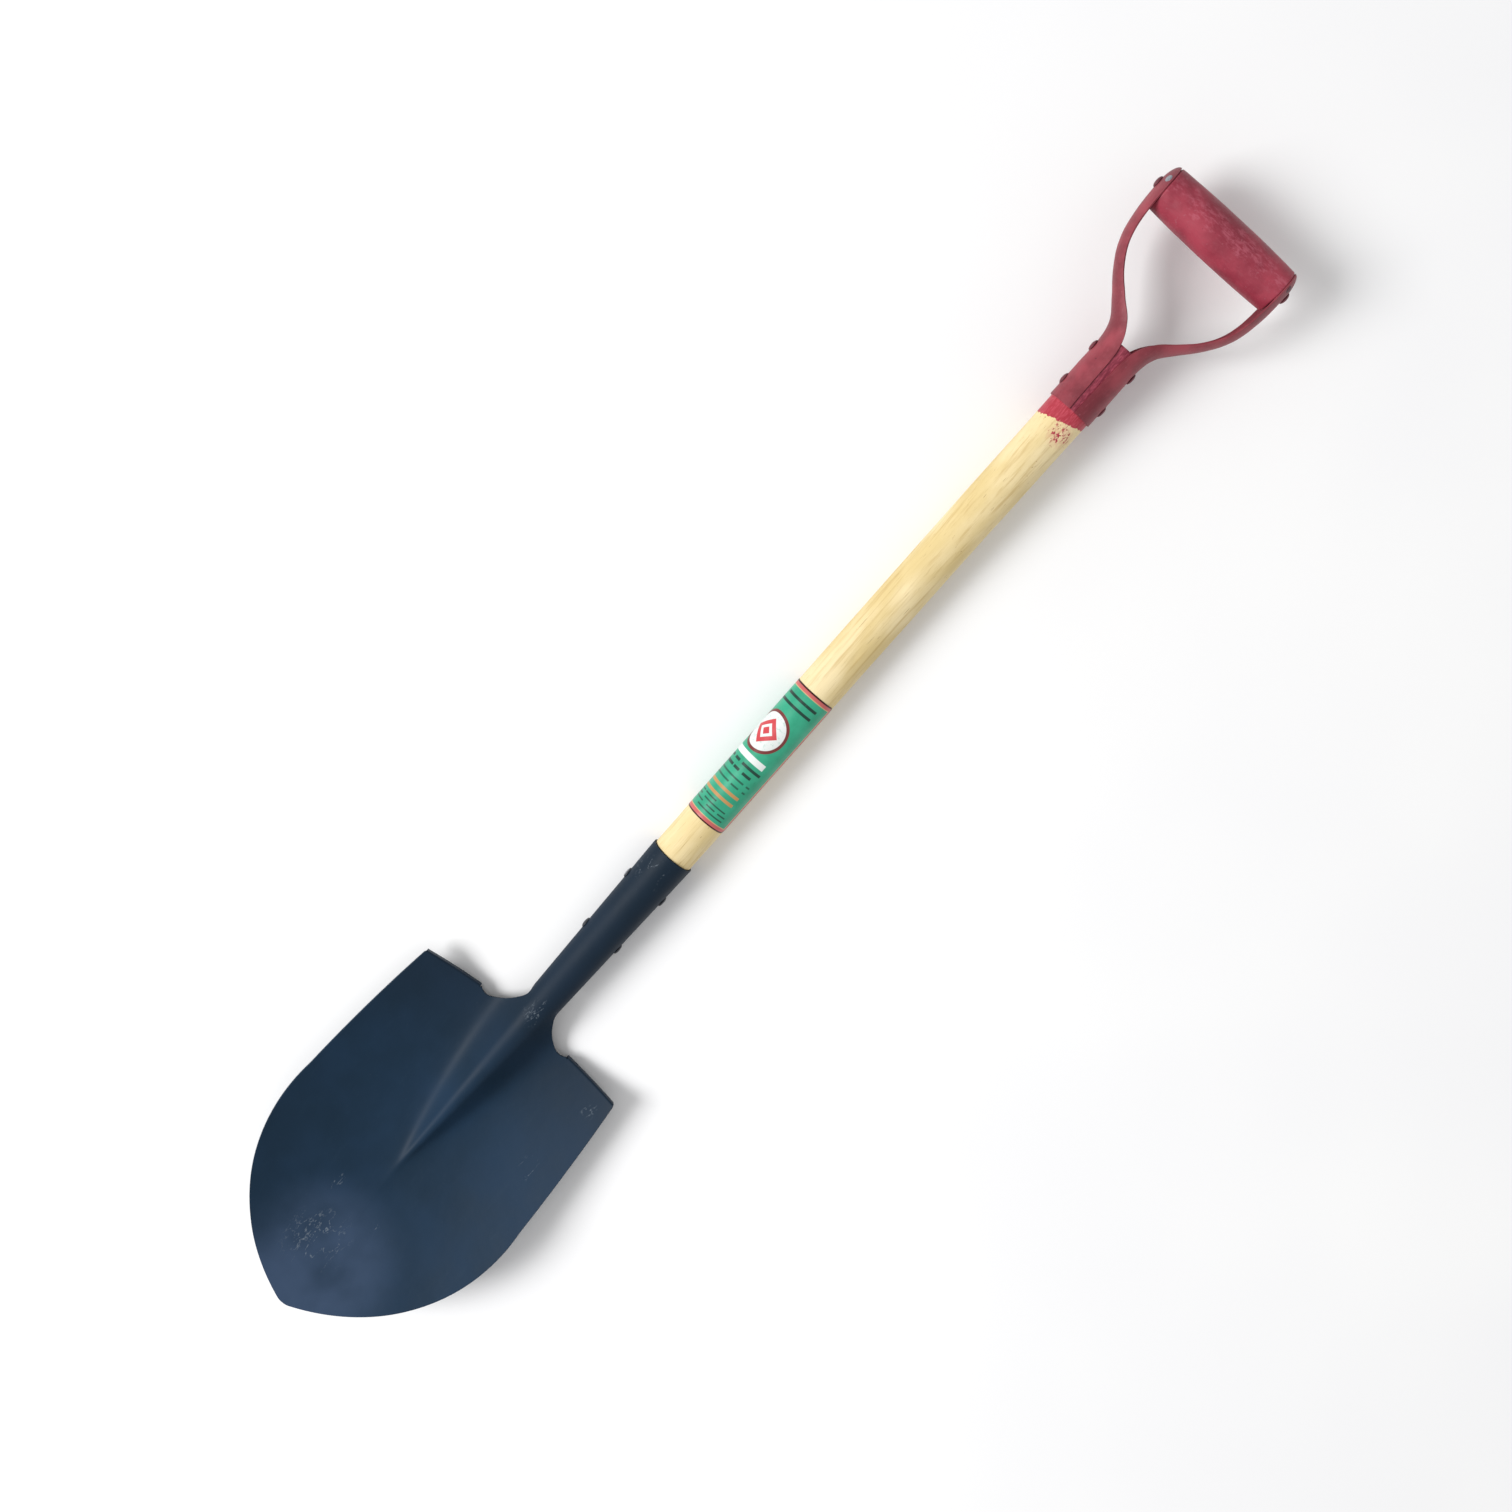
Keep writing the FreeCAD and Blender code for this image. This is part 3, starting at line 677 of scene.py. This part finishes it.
def build_blade():
    sheet = Sheet()
    columns = heel_columns()
    heel = sheet.loft(pan_rows(columns))
    relief_in = RELIEF - RELIEF_WIDTH
    for low, high in ((RELIEF, HEEL_HALF_WIDTH), (-HEEL_HALF_WIDTH, -RELIEF)):
        picked = [n for n, y in enumerate(columns) if low - 0.01 <= y <= high + 0.01]
        sheet.loft(tread_rows([columns[n] for n in picked]), start=[heel[n] for n in picked])
    picked = [n for n, y in enumerate(columns) if abs(y) <= relief_in + 0.01]
    shares = [columns[n] / relief_in for n in picked]
    sheet.loft(socket_rows(shares), start=[heel[n] for n in picked])
    blade = piece("blade_pressing", sheet, TOOL, blade_enamel(), "blade")
    thicken(blade, BLADE_SHEET)
    soften(blade, 0.3)


# ---- shaft ----

SHAFT_RADIUS = 16.0
TENON_RADIUS = 15.55
TENON_SHOWN = 9.0
MOUTH_GAP = 0.4
BEND_START = 633.0
BEND_RADIUS = 1500.0
BEND_ANGLE = math.radians(5)
YOKE_AFTER_BEND = 99.7
YOKE_DEPTH = 52.5
SHAFT_END = BEND_START + BEND_RADIUS * BEND_ANGLE + YOKE_AFTER_BEND + YOKE_DEPTH
LABEL_MIDDLE = 542.0

# Small knots and nicks in the wood: distance up the tool, angle from the front to the left,
# length, width and depth.
KNOTS = [
    (781.0, 70.0, 5.0, 2.5, 0.9),
    (791.0, 78.0, 3.5, 2.0, 0.7),
    (627.0, 40.0, 4.0, 1.6, 0.5),
    (640.0, -10.0, 5.0, 1.6, 0.5),
    (700.0, 20.0, 6.0, 1.5, 0.4),
    (836.0, -25.0, 4.0, 3.0, 0.5),
    (846.0, -12.0, 3.0, 2.0, 0.4),
    (466.0, 30.0, 3.0, 1.5, 0.4),
]


def spine(along):
    """The shaft's centre and its slope, that far along its middle line."""
    turn = min(max(0.0, along - BEND_START) / BEND_RADIUS, BEND_ANGLE)
    past = max(0.0, along - BEND_START - BEND_RADIUS * BEND_ANGLE)
    x = min(along, BEND_START) + BEND_RADIUS * math.sin(turn) + past * math.cos(turn)
    z = BEND_RADIUS * (1 - math.cos(turn)) + past * math.sin(turn)
    return Vector((x, 0, z)), turn


def wood_radius(along, angle):
    """Nearly round: shaved a little flat here and there, with knots and nicks."""
    if along < MOUTH + MOUTH_GAP:
        return TENON_RADIUS
    around = (along / 9, math.sin(angle) * 9, math.cos(angle) * 9)
    bare = smooth(abs(along - LABEL_MIDDLE), 60, 75) * (1 - smooth(along, 840, 858))
    rough = 0.16 * waves(around, 7.0) + 0.1 * waves(around, 2.5, 4.0)
    dents = 0.0
    for place, degrees, length, width, depth in KNOTS:
        aside = SHAFT_RADIUS * math.remainder(angle - math.radians(degrees), 2 * math.pi)
        dents += depth * math.exp(-(((along - place) / length) ** 2) - (aside / width) ** 2)
    return SHAFT_RADIUS - 0.05 + rough * bare - dents


def shaft_ring(along, radius_of, count=72):
    centre, turn = spine(along)
    front = Vector((-math.sin(turn), 0, math.cos(turn)))
    left = Vector((0, 1, 0))
    ring = []
    for angle in steps(-math.pi, math.pi, count)[:-1]:
        ring.append(centre + (left * math.sin(angle) + front * math.cos(angle)) * radius_of(along, angle))
    return ring


def build_shaft():
    sheet = Sheet()
    shoulder = MOUTH + MOUTH_GAP
    places = [MOUTH - TENON_SHOWN, shoulder - 0.01, shoulder + 0.01, shoulder + 0.4]
    places += steps(shoulder + 1, SHAFT_END - 0.6, 240)
    rows = [shaft_ring(along, wood_radius) for along in places]
    rows.append(shaft_ring(SHAFT_END, lambda along, angle: wood_radius(along, angle) - 0.6))
    first = sheet.row(rows[0])
    last = sheet.loft(rows[1:], closed=True, start=first)
    sheet.cap(first, spine(places[0])[0], outward=False)
    sheet.cap(last, spine(SHAFT_END)[0])
    piece("shaft_stick", sheet, TOOL, shaft_wood(), "shaft")


def build_label():
    """The label's wrap, with its free corners rounded; each point keeps its place in the print."""
    sheet = Sheet()
    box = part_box("label")
    start = (TOOL.inverted() @ Vector(((box[0][0] + box[1][0]) / 2, 0, 0))).x / MM - LABEL_LENGTH / 2
    print_places = []
    rows = []
    for share in steps(0, 1, 60):
        row = []
        for across in steps(0, LABEL_WIDTH, 96):
            side = min(across, LABEL_WIDTH - across)
            notch = LABEL_CORNER - math.sqrt(LABEL_CORNER**2 - max(0.0, LABEL_CORNER - side) ** 2)
            up = blend(notch, LABEL_LENGTH - notch, share)
            angle = math.radians(LABEL_TURN - LABEL_WRAP / 2) + across / LABEL_RADIUS
            lift = 0.05 * waves((up, across, 0), 9.0)
            radius = LABEL_RADIUS + lift
            row.append((start + up, radius * math.sin(angle), radius * math.cos(angle)))
            print_places.append((up, across, 0))
        rows.append(row)
    sheet.loft(rows)
    label = piece("label_wrap", sheet, TOOL, label_print(), "label")
    places = label.data.attributes.new("print", "FLOAT_VECTOR", "POINT")
    places.data.foreach_set("vector", [number for place in print_places for number in place])
    thicken(label, 0.18)


# ---- handle ----

HANDLE_SHEET = 1.2
GRIP_AXIS = 144.5
GRIP_HALF_LENGTH = 50.4
GRIP_END_RADIUS = 15.8
GRIP_MID_RADIUS = 17.0
GRIP_ROUNDING = 1.1
GRIP_BODY_HALF_LENGTH = 48.8

# Stations along one arm: place along the shaft, half-width over the arm, direction of the arm
# in degrees, depth front to back, and how far the outside bulges beyond its two edges.
ARM_STATIONS = [
    (0.0, 17.25, 0, 34.2, 15.0),
    (25.0, 17.25, 0, 34.0, 14.4),
    (48.0, 17.3, 3, 33.4, 13.2),
    (61.0, 20.6, 33, 29.8, 9.4),
    (72.0, 29.3, 42, 26.0, 6.6),
    (84.0, 39.8, 38, 24.0, 5.3),
    (97.0, 48.6, 25, 23.8, 4.9),
    (111.0, 53.8, 11, 25.0, 5.0),
    (128.0, 56.2, 4, 28.0, 5.2),
    (144.5, 56.8, 0, 31.2, 5.6),
]
CAP_SWEEP = math.radians(86)


def between(before, start, end, after, share):
    """A smooth value between start and end, which takes its slope from their neighbours."""
    rise_in = (end - before) / 2
    rise_out = (after - start) / 2
    back = start - end
    bend = 2 * back + rise_in + rise_out
    lean = -3 * back - 2 * rise_in - rise_out
    return start + share * (rise_in + share * (lean + share * bend))


def arm_stations(fine=8, cap_steps=14):
    ends = [ARM_STATIONS[0], *ARM_STATIONS, ARM_STATIONS[-1]]
    stations = []
    for four in zip(ends, ends[1:], ends[2:], ends[3:]):
        for step in range(fine):
            stations.append([between(*values, step / fine) for values in zip(*four)])
    along, half, heading, depth, bulge = ARM_STATIONS[-1]
    for angle in steps(0, CAP_SWEEP, cap_steps):
        shrink = math.cos(angle)
        place = along + GRIP_END_RADIUS * math.sin(angle)
        stations.append((place, half - bulge * (1 - shrink), heading, depth * shrink, bulge * shrink))
    return stations


def arm_section(along, half, heading, depth, bulge, side, count=24):
    """The outside of the C of one station, from its front edge round to its rear edge."""
    turn = math.radians(heading)
    outward = Vector((-math.sin(turn), math.cos(turn), 0))
    radius = (depth**2 / 4 + bulge**2) / (2 * bulge)
    centre = Vector((along, half, 0)) - outward * radius
    reach = math.acos((radius - bulge) / radius)
    points = []
    for angle in steps(reach, -reach, count):
        point = centre + (outward * math.cos(angle) + Vector((0, 0, math.sin(angle)))) * radius
        dents = 0.12 * waves(point, 11.0, side) + 0.05 * waves(point, 3.0)
        points.append(Vector((point.x, side * point.y, point.z)) + side * outward * dents)
    return points if side > 0 else points[::-1]


def build_arm(name, side, material):
    sheet = Sheet()
    sheet.loft([arm_section(*station, side) for station in arm_stations()])
    arm = piece(f"{name}_shell", sheet, HANDLE, material, name)
    thicken(arm, HANDLE_SHEET)
    soften(arm, 0.35)


# Dents in the grip's paint and wood: place along the grip, angle from the front towards the
# far side, size and depth.
GRIP_DENTS = [
    (36.0, 25.0, 3.5, 0.5),
    (31.0, 5.0, 2.5, 0.4),
    (26.0, -18.0, 3.0, 0.35),
    (41.0, -20.0, 2.0, 0.35),
    (-30.0, 12.0, 3.0, 0.35),
    (-8.0, 30.0, 4.0, 0.3),
    (6.0, 40.0, 3.0, 0.3),
]


def grip_radius(place, angle):
    """The barrel's crown, rounded off at both ends, with brush ridges and dents."""
    from_end = GRIP_HALF_LENGTH - abs(place)
    crown = GRIP_MID_RADIUS - (GRIP_MID_RADIUS - GRIP_END_RADIUS) * (place / GRIP_HALF_LENGTH) ** 2
    lost = GRIP_ROUNDING - math.sqrt(GRIP_ROUNDING**2 - max(0.0, GRIP_ROUNDING - from_end) ** 2)
    point = (place / 6, math.sin(angle) * 12, math.cos(angle) * 12)
    ridges = 0.07 * waves(point, 1.4) + 0.1 * waves(point, 5.0, 2.0)
    dents = 0.0
    for centre, degrees, size, depth in GRIP_DENTS:
        aside = crown * math.remainder(angle - math.radians(degrees), 2 * math.pi)
        dents += depth * math.exp(-((place - centre) ** 2 + (aside * 1.6) ** 2) / size**2)
    return crown - lost + ridges * smooth(from_end, 0, 3) - dents


def build_grip():
    sheet = Sheet()
    ends = [0.0, 0.08, 0.3, 0.65, 1.1]
    left = [GRIP_HALF_LENGTH - step for step in ends]
    body = steps(-GRIP_BODY_HALF_LENGTH, GRIP_BODY_HALF_LENGTH, 110)
    places = [-place for place in left] + body + left[::-1]
    rows = []
    for place in places:
        ring = []
        for angle in steps(math.pi, -math.pi, 96)[:-1]:
            radius = grip_radius(place, angle)
            ring.append((GRIP_AXIS + radius * math.sin(angle), place, radius * math.cos(angle)))
        rows.append(ring)
    first = sheet.row(rows[0])
    last = sheet.loft(rows[1:], closed=True, start=first)
    sheet.cap(first, (GRIP_AXIS, -GRIP_HALF_LENGTH, 0), outward=False)
    sheet.cap(last, (GRIP_AXIS, GRIP_HALF_LENGTH, 0))
    grip = piece("grip_barrel", sheet, HANDLE, grip_paint(), "grip")
    soften(grip, 0.1, 60)


def coat(node, material):
    """Gives a CAD node its material."""
    shown = frame["nodes"][node]
    shown.data.materials.clear()
    shown.data.materials.append(material)


def coat_small_parts():
    paint, colour, roughness = red_paint("pin_paint", "#71303A", "#4C1C26")
    pins = paint.finish(colour, roughness)
    for node in ("yoke_rivets", "grip_rod"):
        coat(node, pins)
    coat("socket_rivets", bare_and_painted(
        "rivet_steel", "#5B5F68", "#141D27",
        lambda metal: metal.step(metal.math("ABSOLUTE", metal.split(metal.place)[1]), 17.2, 17.8),
    ))
    coat("grip_nails", bare_and_painted(
        "nail_steel", "#6E727C", "#7A2634",
        lambda metal: metal.step(metal.split(metal.place)[1], 0, 1),
    ))


# ---- floor, light and camera ----

CAMERA_PLACE = Vector((0.20085, 0.1, 1.1485))
CAMERA_AIM = Vector((0.02963, 0.00289, 0.02))
CAMERA_UP = Vector((0.7552, 0.6555, 0))
HALF_WIDTH_PER_FOCAL_LENGTH = 0.4725
LENS_FOV = 2 * math.atan(HALF_WIDTH_PER_FOCAL_LENGTH)
WORLD_STRENGTH = 0.6
KEY_PLACE = (-2.0, 2.3, 2.6)
KEY_SIZE = 1.9
KEY_WATTS = 146


def add_floor():
    bpy.ops.mesh.primitive_plane_add(size=8)
    floor = bpy.context.object
    floor.name = "studio_floor"
    paper = Surface("studio_paper", roughness=0.9, specular=0.1)
    tone = paper.mix(paper.step(paper.noise(300, detail=2), 0.3, 0.7), srgb("#F4F4F5"), srgb("#F7F7F7"))
    floor.data.materials.append(paper.finish(tone))


def add_light(name, place, size, energy, aim=(0, 0, 0)):
    data = bpy.data.lights.new(name, "AREA")
    data.size = size
    data.energy = energy
    light = bpy.data.objects.new(name, data)
    bpy.context.scene.collection.objects.link(light)
    light.location = place
    light.rotation_euler = (Vector(aim) - light.location).to_track_quat("-Z", "Y").to_euler()


def add_world(strength):
    world = bpy.data.worlds.new("studio")
    world.use_nodes = True
    background = world.node_tree.nodes["Background"]
    background.inputs["Color"].default_value = (1, 1, 1, 1)
    background.inputs["Strength"].default_value = strength
    bpy.context.scene.world = world
    bpy.context.scene.view_settings.view_transform = "Standard"


def add_camera():
    data = bpy.data.cameras.new("camera")
    camera = bpy.data.objects.new("camera", data)
    bpy.context.scene.collection.objects.link(camera)
    look = (CAMERA_AIM - CAMERA_PLACE).normalized()
    right = look.cross(CAMERA_UP).normalized()
    turn = Matrix((right, right.cross(look), -look)).transposed()
    camera.matrix_world = Matrix.Translation(CAMERA_PLACE) @ turn.to_4x4()
    data.angle = LENS_FOV
    bpy.context.scene.camera = camera


add_camera()
add_floor()
add_world(WORLD_STRENGTH)
add_light("key", KEY_PLACE, KEY_SIZE, KEY_WATTS)
build_blade()
build_shaft()
build_label()
RED = handle_paint()
build_arm("left_arm", 1, RED)
build_arm("right_arm", -1, RED)
build_grip()
coat_small_parts()
